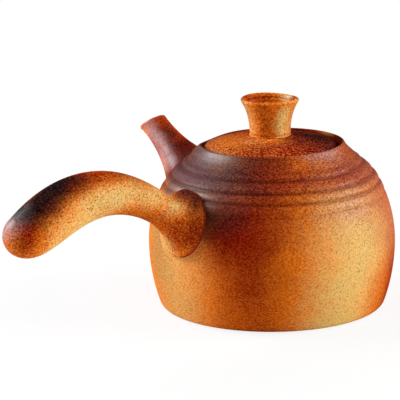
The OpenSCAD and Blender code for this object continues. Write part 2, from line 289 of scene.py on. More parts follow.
def side_normal(row):
    """Unit vectors square to a row of points, to the right of its direction."""
    d = np.gradient(row, axis=0)
    n = np.stack([d[:, 1], -d[:, 0]], 1)
    return n / np.linalg.norm(n, axis=1, keepdims=True)


def fingered(row):
    """Presses grooves into the row: - depth exp(-(h / reach)^2) at each, where h is the height
    above the groove, and + swell where the nearest groove is 2 mm or more away."""
    h = row[:, 1:] - GROOVE_Z
    pressed = -(GROOVE_DEPTH * np.exp(-(h / GROOVE_REACH) ** 2)).sum(axis=1)
    band = (smooth((row[:, 1] - SWELL_LOW[0]) / SWELL_LOW[1])
            * smooth((SWELL_HIGH[0] - row[:, 1]) / SWELL_HIGH[1]))
    bulge = SWELL * band * smooth(np.abs(h).min(axis=1) / 2.0)
    return row + side_normal(row) * (pressed + bulge)[:, None]


outside = fingered(pot_outside())
print(f"outside of the pot: {len(outside)} points, shoulder at radius {SHOULDER_R:.1f} mm")

# %% Pot surface
def pot_profile():
    """Foot, outside, rim and inside in one row, with closer points where the wall turns."""
    hollow_r = FOOT_C[0] - FOOT_RING_W
    foot = softened(np.array([[0.05, FOOT_HOLLOW_H], [hollow_r - 2.0, FOOT_HOLLOW_H],
                              [hollow_r, 0.0], [FOOT_C[0], 0.0]]), 0.4)
    rim = arc((RIM_R - RIM_T / 2, RIM_Z - RIM_T / 2), RIM_T / 2, 15, 180, 14)
    under_seat = SEAT_Z - SEAT_T
    seat = softened(np.array([[MOUTH_R, RIM_Z - RIM_T / 2], [MOUTH_R, SEAT_Z], [THROAT_R, SEAT_Z],
                              [THROAT_R, under_seat], [THROAT_R + 6.0, under_seat]]), 0.35)
    upper = arc(UPPER_C, UPPER_CURVE_R - WALL, math.degrees(SHOULDER_A) * 0.92, 0)
    lower = arc(LOWER_C, LOWER_CURVE_R - WALL, 0, FOOT_A * 0.55)
    corner = lower[-1]
    floor = bow(corner, (corner[0] - 2.5, FLOOR_T), (corner[0] - 14.0, FLOOR_T))
    inside = np.concatenate([seat[-1:], upper, lower[1:], floor[1:], [[0.05, FLOOR_T]]])
    return np.concatenate([even(foot, 1.5), even(outside[1:-4], 0.55), rim, even(seat, 0.5)[1:],
                           even(softened(inside, 1.5), 2.2)[1:]])


POT_WOBBLE = 0.0012
DIP_FROM, DIP_OVER = 85.5, 6.5
PUSH_AT, PUSH_OVER = 90.3, 2.2

profile = pot_profile()
up = profile[:, 1]
is_inside = np.arange(len(profile)) > np.argmax(up)
rim_share = np.where(is_inside, smooth((up - SEAT_Z) / (RIM_Z - RIM_T / 2 - SEAT_Z)), 1.0)
dip = DIP * rim_share * smooth((up - DIP_FROM) / DIP_OVER)
push = PUSH * ~is_inside * np.exp(-((up - PUSH_AT) / PUSH_OVER) ** 2)
pot = add_piece("pot_shell", [turned(profile, POT_AROUND, POT_WOBBLE, tilt=rim_share, dip=dip,
                                     push=push)], "pot", "pot_body")

# %% Where smoke settles in the grooves, with painted shade there and in the mouth
def groove_marks(row):
    """exp(-(h / reach)^2) for the height h from the nearest groove, less in a shallow one, and
    1.5 inside the mouth. The finish darkens the clay by them: smoke and painted shade in a
    groove, and painted shade on the shaded wall inside the mouth."""
    h = row[:, 1:] - GROOVE_Z
    near = np.exp(-(h / (1.15 * GROOVE_REACH)) ** 2) * GROOVE_DEPTH / GROOVE_DEPTH.max()
    skin_r = np.interp(row[:, 1], outside[:, 1], outside[:, 0])
    mouth = (row[:, 0] < RIM_R - 1.2) & (row[:, 1] > SEAT_Z - SEAT_T)
    return np.maximum(near.max(axis=1) * (row[:, 0] > skin_r - 0.5), 1.5 * mouth)


def mark_grooves(piece, marks, around):
    """Keeps one mark for each row of a turned profile as the attribute that the finish reads, which
    darkens the clay there with painted shade, and with smoke too in the pot's grooves.
    """
    values = np.zeros(len(piece.data.vertices), dtype=np.float32)
    values[:len(marks) * around] = np.repeat(marks, around)
    piece.data.attributes.new("groove", "FLOAT", "POINT").data.foreach_set("value", values)
    print(f"{piece.name}: {int((values > 0.5).sum())} points lie deep in a groove")


mark_grooves(pot, groove_marks(profile), POT_AROUND)

# %% [markdown]
# ## The strainer
#
# Behind the spout the wall is pierced with seven holes that hold the leaves back. A potter pushes
# a hollow tool through the soft clay. Here a Boolean modifier takes round bars out of the wall,
# because a hole off the wheel's axis can't be a part of the turned profile.

# %% Cutting with bars
SPOUT_Z, SPOUT_ANGLE, SPOUT_L = 68.2, 41.2, 39.2
HOLE_D, HOLE_PITCH = 4.6, 7.0
BAR_BACK, BAR_OUT = 16.0, 8.0
SPOUT_ROOT = np.array([upper_arc_r(SPOUT_Z), 0.0, SPOUT_Z])
spout_rise = math.radians(SPOUT_ANGLE)
SPOUT_AXIS = np.array([math.cos(spout_rise), 0.0, math.sin(spout_rise)])
SPOUT_UP = np.array([-math.sin(spout_rise), 0.0, math.cos(spout_rise)])
SPOUT_SIDE = np.array([0.0, 1.0, 0.0])


def bar(start, stop, radius, sides=32, rings=8):
    """A round bar: start + t (stop - start) + radius (cos a, sin a) across it."""
    start, stop = np.array(start, float), np.array(stop, float)
    along = (stop - start) / np.linalg.norm(stop - start)
    across = np.cross(along, SPOUT_SIDE if abs(along[1]) < 0.9 else SPOUT_UP)
    across /= np.linalg.norm(across)
    up = np.cross(along, across)
    a = circle(sides)
    ring = radius * (np.outer(np.cos(a), across) + np.outer(np.sin(a), up))
    t = np.linspace(0.0, 1.0, rings)[:, None, None]
    return skin(start + t * (stop - start) + ring)


def cut_out(piece, surfaces):
    """Takes closed surfaces out of a piece with exact Booleans and keeps the result as its mesh."""
    tools = []
    for k, (points, faces) in enumerate(surfaces):
        tool = put(f"tool_{k}", make_mesh(f"tool_{k}", points, faces))
        modifier = piece.modifiers.new(f"cut_{k}", "BOOLEAN")
        modifier.operation, modifier.solver, modifier.object = "DIFFERENCE", "EXACT", tool
        tools.append(tool)
    bpy.context.view_layer.update()
    cut = piece.evaluated_get(bpy.context.evaluated_depsgraph_get())
    result = bpy.data.meshes.new_from_object(cut)
    piece.modifiers.clear()
    old, piece.data = piece.data, result
    bpy.data.meshes.remove(old)
    for tool in tools:
        bpy.data.objects.remove(tool)
    result.shade_smooth()
    print(f"{piece.name} after {len(surfaces)} cuts: {len(result.polygons)} faces")


# %% Seven holes
turn = np.radians(60.0 * np.arange(6))
holes = HOLE_PITCH * (np.outer(np.cos(turn), SPOUT_UP) + np.outer(np.sin(turn), SPOUT_SIDE))
holes = np.concatenate([np.zeros((1, 3)), holes])
cut_out(pot, [bar(at - BAR_BACK * SPOUT_AXIS, at + BAR_OUT * SPOUT_AXIS, HOLE_D / 2)
              for at in SPOUT_ROOT + holes])

# %% [markdown]
# ## The spout
#
# The spout was thrown as a small trumpet, cut at its foot to the shape of the pot and stuck on
# with slip. It is a hoop of rings: the profile goes up the outside, over the rounded lip and
# down the bore, and both of its feet end just inside the pot's wall.

# %% Where a trumpet meets the pot
SPOUT_R, SPOUT_SWELL, SPOUT_POWER = 7.5, 8.4, 2.4
SPOUT_LIP, SPOUT_LIP_REACH = 0.6, 3.0
SPOUT_WALL, SPOUT_CUT = 2.4, 16.0
SPOUT_SINK, FOOT_SEARCH = 1.1, (-25.0, 22.0)

plain_side = pot_outside()


def depth_in_pot(points):
    """How far points lie inside the plain outside of the pot, measured across the axis."""
    r = np.hypot(points[..., 0], points[..., 1])
    side_r = np.interp(points[..., 2], plain_side[:, 1], plain_side[:, 0])
    return side_r - r


def spout_radius(back):
    """r + swell (back / length)^power + lip exp(-back / lip reach), with back from the mouth."""
    share = np.clip(back, 0, None) / SPOUT_L
    lip = SPOUT_LIP * np.exp(-back / SPOUT_LIP_REACH)
    return SPOUT_R + SPOUT_SWELL * share ** SPOUT_POWER + lip


def on_spout(s, a, radius):
    """root + s axis + radius (cos a up + sin a side)."""
    s, a, radius = np.broadcast_arrays(s, a, radius)
    across = np.cos(a)[..., None] * SPOUT_UP + np.sin(a)[..., None] * SPOUT_SIDE
    return SPOUT_ROOT + s[..., None] * SPOUT_AXIS + radius[..., None] * across


def halved(low, high, too_low):
    """Where too_low turns from true to false between low and high: 30 times, the half of the
    interval that holds the change is kept."""
    for _ in range(30):
        middle = (low + high) / 2
        more = too_low(middle)
        low, high = np.where(more, middle, low), np.where(more, high, middle)
    return (low + high) / 2


def spout_foot(a, inset, sink):
    """The s at which the trumpet, made narrower by inset, is sink deep in the pot."""
    return halved(*(np.full_like(a, end) for end in FOOT_SEARCH),
                  lambda s: depth_in_pot(on_spout(s, a, spout_radius(SPOUT_L - s) - inset)) > sink)


# %% Spout surface
def spout_rings(around=96, rows=60, lip_rows=12, bore_rows=44):
    """The outside from foot to mouth, a half circle over the lip, and the bore back to its foot."""
    a = circle(around)[None, :]
    half = SPOUT_WALL / 2
    slant = math.tan(math.radians(SPOUT_CUT))
    mouth_mid = SPOUT_L - half - slant * (spout_radius(0.0) - half) * np.cos(a)
    t = np.linspace(0.0, 1.0, rows)[:, None]
    foot = spout_foot(a, 0.0, SPOUT_SINK)
    s_out = foot + t * (mouth_mid - foot)
    outer = on_spout(s_out, a, spout_radius(SPOUT_L - s_out))
    b = np.linspace(0.0, np.pi, lip_rows)[1:-1, None]
    r_mid = spout_radius(SPOUT_L - mouth_mid) - half
    lip = on_spout(mouth_mid + half * np.sin(b), a, r_mid + half * np.cos(b))
    t = np.linspace(1.0, 0.0, bore_rows)[:, None]
    foot = spout_foot(a, SPOUT_WALL, SPOUT_SINK / 2)
    s_in = foot + t * (mouth_mid - foot)
    bore = on_spout(s_in, a, spout_radius(SPOUT_L - s_in) - SPOUT_WALL)
    return np.concatenate([outer, lip, bore])


add_piece("spout_shell", [skin(leaned(spout_rings(), tilt=0.0), hoop=True)],
          "pot", "spout")

# %% [markdown]
# ## The handle
#
# The handle is pulled and rolled hollow, so that it stays cool: it leaves the wall as a flared
# foot, arches over and swells where the hand holds it. Its middle line is a curve with five
# control points in an upright plane. Each ring is round and square to that line. A ring lies
# where a ball of the grip's radius touches the skin, so the skin stays smooth as it narrows.

# %% Middle line of the handle
HANDLE_AZIMUTH, HANDLE_Z, REACH, END_RISE, ARCH = 83.0, 57.6, 107.0, 12.5, 57.2
NECK_R, SWELL_R, END_R = 8.1, 19.2, 11.6
HANDLE_FOOT_R, FOOT_RATIO, FOOT_RIM_T, FLARE_L, FOOT_EDGE = 18.9, 0.88, 1.5, 6.0, 0.9
HANDLE_WALL, VENT_D, VENT_AT = 3.6, 2.5, 0.3
HANDLE_ROWS, CROWDING = 190, 1.1

HANDLE_ROOT = np.array([upper_arc_r(HANDLE_Z), HANDLE_Z])
NORMAL_A = math.asin((HANDLE_Z - WIDEST_Z) / UPPER_CURVE_R)
HANDLE_NORMAL = np.array([math.cos(NORMAL_A), math.sin(NORMAL_A)])
CONTROLS = HANDLE_ROOT + np.array([[0.0, 0.0], 0.09 * REACH * HANDLE_NORMAL, [0.526 * REACH, ARCH],
                                   [0.885 * REACH, END_RISE - 0.5], [REACH, END_RISE]])


def swung(points):
    """Turns points by the handle's azimuth round the pot's axis."""
    a = math.radians(HANDLE_AZIMUTH)
    x, y, z = np.moveaxis(np.asarray(points), -1, 0)
    return np.stack([x * math.cos(a) - y * math.sin(a), x * math.sin(a) + y * math.cos(a), z], -1)


def bezier(controls, t):
    """Sum over k of C(n, k) t^k (1 - t)^(n - k) control k."""
    n = len(controls) - 1
    weights = [math.comb(n, k) * t ** k * (1 - t) ** (n - k) for k in range(n + 1)]
    return np.stack(weights, -1) @ np.asarray(controls, float)


# %% Rings of the handle
def handle_rings(grow=0.0, rows=HANDLE_ROWS, cap_rows=16, around=128):
    """All rings of the grip, or of its hollow where grow is below 0: t runs from the wall to the
    end, and a round cap follows. A ring lies ball slope behind its point of the line, and its
    radius is ball sqrt(1 - slope^2), with ball the radius of the grip there."""
    t = np.linspace(0.0, 1.0, rows) ** CROWDING
    line = bezier(CONTROLS, t)
    ball = bezier([NECK_R, 0.78 * NECK_R, SWELL_R, END_R], t) + grow
    run = run_of(line)
    way = np.gradient(line, run, axis=0)
    angle = np.arctan2(way[:, 1], way[:, 0])
    away = np.linalg.norm(line - HANDLE_ROOT, axis=1)
    turn = smooth(away / (4 * FLARE_L))
    angle = NORMAL_A + (angle - NORMAL_A) * turn
    slope = np.gradient(ball, run) * turn
    flare = np.exp(-np.clip(away - FOOT_RIM_T, 0, None) / FLARE_L)
    edge = FOOT_EDGE * (1 - np.sqrt(1 - np.clip(1 - away / FOOT_EDGE, 0, 1) ** 2))
    radius = ball * np.sqrt(1 - slope ** 2) + (HANDLE_FOOT_R - NECK_R) * flare - edge
    facing = np.stack([np.cos(angle), np.sin(angle)], 1)
    centre = line - (ball * slope)[:, None] * facing
    side = radius * (1 - (1 - FOOT_RATIO) * flare)
    cap_start = math.asin(-slope[-1])
    b = np.linspace(cap_start, np.pi / 2, cap_rows + 1)[1:-1]
    centre = np.concatenate([centre, line[-1] + ball[-1] * np.sin(b)[:, None] * facing[-1]])
    radius, side = (np.concatenate([r, ball[-1] * np.cos(b)]) for r in (radius, side))
    facing = np.concatenate([facing, np.repeat(facing[-1:], cap_rows - 1, axis=0)])
    a = circle(around)
    up = radius[:, None] * np.cos(a)
    flat = np.stack([centre[:, :1] - up * facing[:, 1:], -side[:, None] * np.sin(a),
                     centre[:, 1:] + up * facing[:, :1]], -1)
    return swung(flat)


# %% Fitting the handle's foot to the wall
HANDLE_WAY = swung([HANDLE_NORMAL[0], 0.0, HANDLE_NORMAL[1]])
FOOT_ROWS, FOOT_SINK, BACK_SEARCH = 7, 1.2, 14.0


def reach_back(ring, sink):
    """Moves a ring's points against the handle's way until each is sink deep in the pot."""
    back = halved(np.zeros(len(ring)), np.full(len(ring), BACK_SEARCH),
                  lambda far: ~(depth_in_pot(ring - far[:, None] * HANDLE_WAY) > sink))
    return ring - back[:, None] * HANDLE_WAY


def foot_rows(ring):
    """Rows from the wall out to a ring, evenly spread."""
    start = reach_back(ring, FOOT_SINK)
    t = np.linspace(0.0, 1.0, FOOT_ROWS, endpoint=False)[:, None, None]
    return start + t * (ring - start)


# %% Grip, hollow and vent
grip = handle_rings()
grip = np.concatenate([foot_rows(grip[0]), grip])
handle = add_piece("handle_grip", [skin(grip)], "pot", "handle")
hollow = handle_rings(-HANDLE_WALL, rows=60, cap_rows=10, around=48)[8:]
vent_x, vent_z = bezier(CONTROLS, np.array([VENT_AT]))[0]
vent_top = swung([vent_x, 0.0, vent_z])
cut_out(handle, [skin(hollow), bar(vent_top - [0, 0, 30.0], vent_top, VENT_D / 2, 24)])

# %% [markdown]
# ## Slip seams
#
# Where the spout and the handle meet the pot, the slip that glued them was wiped to a thin bead.
# Each seam is a hoop of small rings along the line where the two surfaces meet, and the rings
# stand square to that line.

# %% Beads of slip
BEAD_R = 0.55


def hoop_of(line, radius, sides=12):
    """Rings line + radius (cos a n + sin a b), where n points away from the line's middle."""
    way = np.roll(line, -1, axis=0) - np.roll(line, 1, axis=0)
    way /= np.linalg.norm(way, axis=1, keepdims=True)
    out = line - line.mean(axis=0)
    out -= (out * way).sum(axis=1, keepdims=True) * way
    out /= np.linalg.norm(out, axis=1, keepdims=True)
    third = np.cross(way, out)
    a = circle(sides)[None, :, None]
    rings = line[:, None] + radius * (np.cos(a) * out[:, None] + np.sin(a) * third[:, None])
    return skin(rings, hoop=True)


a = circle(160)
s = spout_foot(a, 0.0, 0.0)
spout_line = leaned(on_spout(s, a, spout_radius(SPOUT_L - s)), tilt=0.3)
add_piece("spout_seam", [hoop_of(spout_line, BEAD_R)], "pot", "spout_slip")
handle_line = reach_back(handle_rings(rows=30)[0], 0.0)
add_piece("handle_seam", [hoop_of(handle_line, BEAD_R)], "pot", "handle_slip")

# %% [markdown]
# ## The lid
#
# The lid is a shallow dome with a thick rounded edge. Under it a ring keeps it from sliding off
# when the kettle is tipped. A steam vent runs down through the knob and the lid, so their
# profiles stop short of the axis, and each is a hoop round the vent.

# %% Lid and ring
LID_R, LID_EDGE_T, DOME_R, LID_T, VENT_R = MOUTH_R - 0.8, 2.7, 114.0, 4.2, 1.6
RING_R, RING_T, RING_H = THROAT_R - 0.8, 3.2, 9.0
SLIP_T = 0.4
RIPPLE, RIPPLE_TURN = 0.02, 1.9
WAIST_R = 11.7
LID_SHIFT = -0.6


def dome(r):
    """How far a dome of radius DOME_R lies below its crown: R - sqrt(R^2 - r^2)."""
    return DOME_R - np.sqrt(DOME_R ** 2 - r ** 2)


EDGE_Z = SEAT_Z + LID_EDGE_T
LAND_R = WAIST_R + 0.4
LAND_Z = EDGE_Z + dome(LID_R) - dome(LAND_R)
print(f"lid: {2 * LID_R:.1f} mm across, its crown at {LAND_Z:.1f} mm")


# %% Lid profiles
def lid_profile():
    """From the vent over the dome, round the edge and back under the lid to the vent."""
    half = LID_EDGE_T / 2
    r = np.linspace(LAND_R, LID_R - half - 0.6, 60)
    top = np.stack([r, EDGE_Z + dome(LID_R) - dome(r) + RIPPLE * np.sin(r * RIPPLE_TURN)], 1)
    edge = arc((LID_R - half, SEAT_Z + half), half, 75, -75, 16)
    inner = RING_R - RING_T - 1.0
    under = bow((inner, SEAT_Z), (inner * 0.7, LAND_Z - LID_T), (VENT_R, LAND_Z - LID_T), 30)
    middle = [[VENT_R, LAND_Z], [LAND_R - 0.5, LAND_Z]]
    flat = even(np.array([edge[-1], under[0]]), 1.0)
    return np.concatenate([middle, top, edge, flat[1:-1], under])


def ring_profile():
    """A rounded bar: the locating ring's section, slightly narrower at its lower edge."""
    low, high = SEAT_Z - RING_H, SEAT_Z - SLIP_T
    inner, outer = RING_R - RING_T, RING_R
    corners = np.array([[inner, high], [outer, high], [outer, high - 2], [outer - 0.3, low],
                        [inner + 0.3, low], [inner, high - 2], [inner, high]])
    return softened(corners, 0.45, 0.3)[:-1]


# %% Lid surfaces
def lid_hoop(row, around, shift=LID_SHIFT):
    """A closed profile turned to a hoop, with the lid's own shift."""
    return turned(row, around, shift=shift, hoop=True)


def turned_bead(radius, z, bead, around, shift=LID_SHIFT):
    """A small circle at a radius and a height, turned to a bead of slip."""
    return lid_hoop(arc((radius, z), bead, 0, 330, 12), around, shift)


lid_row = lid_profile()
lid = add_piece("lid_dome", [lid_hoop(lid_row, LID_AROUND)], "lid", "lid_plate")
# Painted shade: a dark line round the lid's edge, where it sits in the shadow of the seat.
mark_grooves(lid, smooth((lid_row[:, 0] - LID_R + 1.5) / 0.9), LID_AROUND)
add_piece("lid_flange", [lid_hoop(ring_profile(), 160)], "lid", "lid_ring")
add_piece("flange_seam", [turned_bead(r, SEAT_Z - SLIP_T / 2, 0.5, 160)
                          for r in (RING_R - 0.35, RING_R - RING_T + 0.35)],
          "lid", "lid_ring_slip")

# %% [markdown]
# ## The knob
#
# The knob is a little cup, thrown and then stuck on with its mouth up: a narrow waist, a flared
# mouth with a thin uneven lip, and the rings of a fingertip inside. They are waves in the
# profile's radius, and a mark in their hollows lets the finish paint shade into them.

# %% Knob
KNOB_R, KNOB_H, WAIST_RISE = 16.5, 20.6, 4.5
KNOB_WALL, KNOB_EDGE, KNOB_SHIFT, KNOB_WOBBLE = 2.4, 1.2, -0.9, 0.006
KNOB_Z = LAND_Z + SLIP_T
CUP_H, CUP_ROWS, CUP_RING_RISE, CUP_RING_DEPTH = 13.0, 150, 1.9, 0.16
LIP_LIFT, LIP_LIFT_FROM = 0.35, 12.0


def knob_profile():
    """From the vent out under the foot, up the waist, over the lip and down the cup's rings."""
    top = KNOB_Z + KNOB_H
    half = KNOB_WALL / 2
    foot = arc((WAIST_R - KNOB_EDGE, KNOB_Z + KNOB_EDGE), KNOB_EDGE, -90, 0, 8)
    side = bow((WAIST_R, KNOB_Z + WAIST_RISE), (WAIST_R + 0.6, KNOB_Z + KNOB_H * 0.62),
               (KNOB_R, top - half), 50)
    lip = arc((KNOB_R - half, top - half), half, 10, 165, 14)
    inner = KNOB_R - KNOB_WALL
    cup = bow((inner, top - half), (WAIST_R - 2.2, top - CUP_H + 3), (VENT_R, top - CUP_H),
              CUP_ROWS)
    wave = CUP_RING_DEPTH * smooth((cup[:, 0] - 5) / 3) * smooth((inner - cup[:, 0]) / 0.3)
    cup[:, 0] += wave * np.sin(2 * np.pi * (top - cup[:, 1]) / CUP_RING_RISE)
    start = np.array([[VENT_R, KNOB_Z], [WAIST_R - KNOB_EDGE - 0.5, KNOB_Z]])
    outer = softened(np.concatenate([foot, side]), 0.8)
    return np.concatenate([start, outer, lip, cup])


# %% Knob surface
def knob_surface(row):
    """The turned profile, with its lip lifted by lift cos(2a + 0.4), and less below it."""
    points, faces = turned(row, KNOB_AROUND, KNOB_WOBBLE, KNOB_SHIFT, hoop=True)
    a = np.arctan2(points[:, 1], points[:, 0])
    high = smooth((points[:, 2] - KNOB_Z - LIP_LIFT_FROM) / (KNOB_H - LIP_LIFT_FROM))
    points[:, 2] += LIP_LIFT * high * np.cos(2 * a + 0.4)
    return points, faces


def cup_marks(row):
    """1 in the hollows between the fingertip's rings, where the finish paints shade, 0 on their
    crests and outside the cup.
    """
    hollow = np.sin(2 * np.pi * (KNOB_Z + KNOB_H - row[:, 1]) / CUP_RING_RISE).clip(0, 1)
    return hollow * (np.arange(len(row)) >= len(row) - CUP_ROWS)


knob_row = knob_profile()
knob = add_piece("knob_cup", [knob_surface(knob_row)], "lid", "lid_knob")
mark_grooves(knob, cup_marks(knob_row), KNOB_AROUND)
add_piece("knob_seam", [turned_bead(WAIST_R - 0.45, KNOB_Z - 0.1, 0.55, 120, KNOB_SHIFT)],
          "lid", "knob_slip")

# %% [markdown]
# ## Clay without a glaze
#
# In the kiln the flame paints the bare clay. Where ash lands it turns gold, where the flame
# licks it turns rust red, and where smoke is trapped it turns purple brown or black. The iron in
# the clay gives fine dark sand all over. Some patches are painted light instead: lilac and pink
# sheens and highlights, a few gold highlights, and shade in the hollows and under the knob. Each
# of these is a colour that changes over the surface, so each is worked out from the place of a
# point on the object, and the pieces share them.

# %% Node helpers
def node(tree, kind, inputs=None, out=0, **settings):
    """Adds a shader node and feeds each named input with a socket or a plain value."""
    made = tree.nodes.new("ShaderNode" + kind)
    for key, value in settings.items():
        setattr(made, key, value)
    for key, value in (inputs or {}).items():
        if isinstance(value, bpy.types.NodeSocket):
            tree.links.new(value, made.inputs[key])
        else:
            made.inputs[key].default_value = value
    return made.outputs[out]


# %% Sums and blends
def calc(tree, operation, *values, **settings):
    """One sum on numbers or masks: a Math node fed with the values in turn."""
    return node(tree, "Math", dict(enumerate(values)), operation=operation, **settings)


def noise(tree, place, scale, detail, rough=0.5):
    """Cloudy noise at a place, from 0 to 1."""
    return node(tree, "TexNoise", {"Vector": place, "Scale": scale, "Detail": detail,
                                   "Roughness": rough})


def ranged(tree, value, start, stop, low=0.0, high=1.0, **settings):
    """Carries start to stop of a value over to low to high, and holds it between them."""
    return node(tree, "MapRange", {"Value": value, "From Min": start, "From Max": stop,
                                   "To Min": low, "To Max": high}, **settings)


def blended(tree, share, first, second, **settings):
    """A colour between two: inputs 0, 6 and 7 of a colour Mix are the share and the colours."""
    return node(tree, "Mix", {0: share, 6: first, 7: second}, out=2, data_type="RGBA", **settings)


# %% Groups of nodes
def node_group(name, inputs, outputs):
    """An empty group whose sockets have these names and kinds, with its two end nodes."""
    tree = bpy.data.node_groups.new(name, "ShaderNodeTree")
    for label, (kind, value) in inputs.items():
        socket = tree.interface.new_socket(name=label, in_out="INPUT",
                                           socket_type="NodeSocket" + kind)
        socket.default_value = value
    for label, kind in outputs.items():
        tree.interface.new_socket(name=label, in_out="OUTPUT", socket_type="NodeSocket" + kind)
    return tree, tree.nodes.new("NodeGroupInput").outputs, tree.nodes.new("NodeGroupOutput").inputs


def use_group(tree, group, inputs=None):
    """Places a group in a tree, with its own values, and returns its outputs."""
    made = tree.nodes.new("ShaderNodeGroup")
    made.node_tree = group
    for key, value in (inputs or {}).items():
        made.inputs[key].default_value = value
    return made.outputs


# %% [markdown]
# ## Three shared effects
#
# A soft patch is a ball or an egg of flame, ash or smoke with frayed edges. Iron sand is fine
# grain with a few larger spots. Turning marks are the faint level lines that a sponge leaves
# while the wheel turns. Each is a group of nodes, built once and used by every clay.

# %% Soft patch
tree, given, gives = node_group(
    "soft_patch",
    {"Centre": ("Vector", (0.0, 0.0, 0.0)), "Size": ("Vector", (0.05, 0.05, 0.05)),
     "Fray": ("Float", 0.12)},
    {"Mask": "Float"})
place = node(tree, "TexCoord", out=3)
away = node(tree, "VectorMath", {0: place, 1: given["Centre"]}, operation="SUBTRACT")
away = node(tree, "VectorMath", {0: away, 1: given["Size"]}, operation="DIVIDE")
far = node(tree, "VectorMath", {0: away}, out=1, operation="LENGTH")
cloud = noise(tree, place, 60.0, 5.0, 0.65)
frayed = calc(tree, "SUBTRACT", cloud, 0.5)
frayed = calc(tree, "MULTIPLY", frayed, given["Fray"])
frayed = calc(tree, "MULTIPLY_ADD", frayed, 4.0, far)
mask = ranged(tree, frayed, 1.0, 0.0, interpolation_type="SMOOTHSTEP")
tree.links.new(mask, gives["Mask"])
patch_group = tree

# %% Iron sand
tree, given, gives = node_group(
    "iron_sand", {"Grain Scale": ("Float", 900.0), "Spot Scale": ("Float", 780.0)},
    {"Grain": "Float", "Burn": "Float", "Spots": "Float"})
place = node(tree, "TexCoord", out=3)
flat = node(tree, "VectorMath", {0: place, 1: (1.0, 1.0, 1.25)}, operation="MULTIPLY")
fine = noise(tree, flat, given["Grain Scale"], 3.0, 0.62)
fine = ranged(tree, fine, 0.28, 0.72)
tree.links.new(fine, gives["Grain"])
pale = calc(tree, "SUBTRACT", 1.0, fine)
burn = calc(tree, "MULTIPLY", pale, pale)
burn = calc(tree, "MULTIPLY_ADD", burn, 4.0, -1.05)
tree.links.new(burn, gives["Burn"])
cells = node(tree, "TexVoronoi", {"Vector": place, "Scale": given["Spot Scale"]}).node.outputs
near = ranged(tree, cells["Distance"], 0.34, 0.18, interpolation_type="SMOOTHSTEP")
pick = node(tree, "SeparateXYZ", {0: cells["Color"]})
pick = ranged(tree, pick, 0.6, 0.85)
spots = calc(tree, "MULTIPLY", near, pick)
tree.links.new(spots, gives["Spots"])
sand_group = tree

# %% Turning marks
tree, given, gives = node_group(
    "turning_marks", {"Lines": ("Float", 900.0)}, {"Marks": "Float"})
place = node(tree, "TexCoord", out=3)
height = node(tree, "SeparateXYZ", {0: place}, out=2)
wander = noise(tree, place, 22.0, 1.0)
height = calc(tree, "MULTIPLY_ADD", wander, 0.003, height)
level = node(tree, "CombineXYZ", {2: height})
lines = noise(tree, level, given["Lines"], 2.0)
tree.links.new(lines, gives["Marks"])
marks_group = tree
print("groups:", ", ".join(group.name for group in bpy.data.node_groups))

# %% [markdown]
# ## Tones of the fire
#
# The colours are linear red, green and blue. A patch names its tone, a place on the piece, how
# far it reaches sideways and up in millimetres, and its strength. Places are told as a potter
# would: so many degrees round and millimetres up the pot, or so far along the handle or spout.

# %% Tones
GOLD = (0.71, 0.50, 0.16)
AMBER = (0.74, 0.17, 0.008)
RUST = (0.33, 0.032, 0.0015)
EMBER = (0.26, 0.010, 0.0006)
SMOKE = (0.042, 0.008, 0.007)
SOOT = (0.010, 0.004, 0.005)
# The lilac tone below is partly a purple bloom of the fire and partly a painted sheen, where the
# soft boxes shine on dark clay.
BLOOM_AND_SHEEN = (0.33, 0.19, 0.20)
# The pink tone below is a painted highlight, a pink sheen of reflected light.
PINK_HIGHLIGHT = (0.45, 0.26, 0.25)
# The smoke mask counts the lilac and pink tones too, so the sand is calmer under painted sheen as
# well.
SMOKE_AND_SHEEN_TONES = (SMOKE, SOOT, BLOOM_AND_SHEEN, PINK_HIGHLIGHT)
IRON = (0.045, 0.010, 0.004, 1.0)
GROOVE_SMOKE_AND_SHADE = (0.42, 0.22, 0.18, 1.0)
QUARTZ = (0.50, 0.37, 0.27, 1.0)


# %% Places
def on_plan(x, y, z):
    """A place in metres, from millimetres."""
    return (x * MM, y * MM, z * MM)


def on_turned(azimuth, z, heights, radii):
    """A place on a turned side, from degrees round and millimetres up."""
    r, a = np.interp(z, heights, radii), math.radians(azimuth)
    return (r * MM * math.cos(a), r * MM * math.sin(a), z * MM)


def on_pot(azimuth, z):
    """A place on the outside of the pot."""
    return on_turned(azimuth, z, outside[:, 1], outside[:, 0])


def on_knob(azimuth, z):
    """A place just under the outside of the knob."""
    return on_turned(azimuth, z, [98, 106, 112, 118], [9, 8.5, 10, 15])


def on_handle(percent, around):
    """A place on the grip: so many hundredths along it and degrees round from its top."""
    share = min(percent / 100, 1.0) ** (1 / CROWDING)
    ring = grip[FOOT_ROWS + int(round(share * (HANDLE_ROWS - 1)))]
    return tuple(ring[int(round(around / 360 * len(ring))) % len(ring)] * MM)


def on_spout_side(along, around):
    """A place on the spout: millimetres along it and degrees round from its upper side."""
    radius = np.interp(along, [0, 8, 20, 30], [13, 9.5, 6.5, 5.5])
    return tuple(on_spout(np.array(float(along)), math.radians(around), radius) * MM)


# %% Flame and smoke
DRIFT = (0.85, 1.15)


def patch_mask(tree, at, *row):
    """The mask of one patch: its place, how far it reaches sideways and up, and its strength."""
    *place, side, up, strength = row
    size = (side * MM, side * MM, up * MM)
    mask = use_group(tree, patch_group, {"Centre": at(*place), "Size": size})["Mask"]
    return calc(tree, "MULTIPLY", mask, strength)


def highest(tree, masks):
    """The highest of some masks at each point."""
    top = masks[0]
    for mask in masks[1:]:
        top = calc(tree, "MAXIMUM", top, mask)
    return top


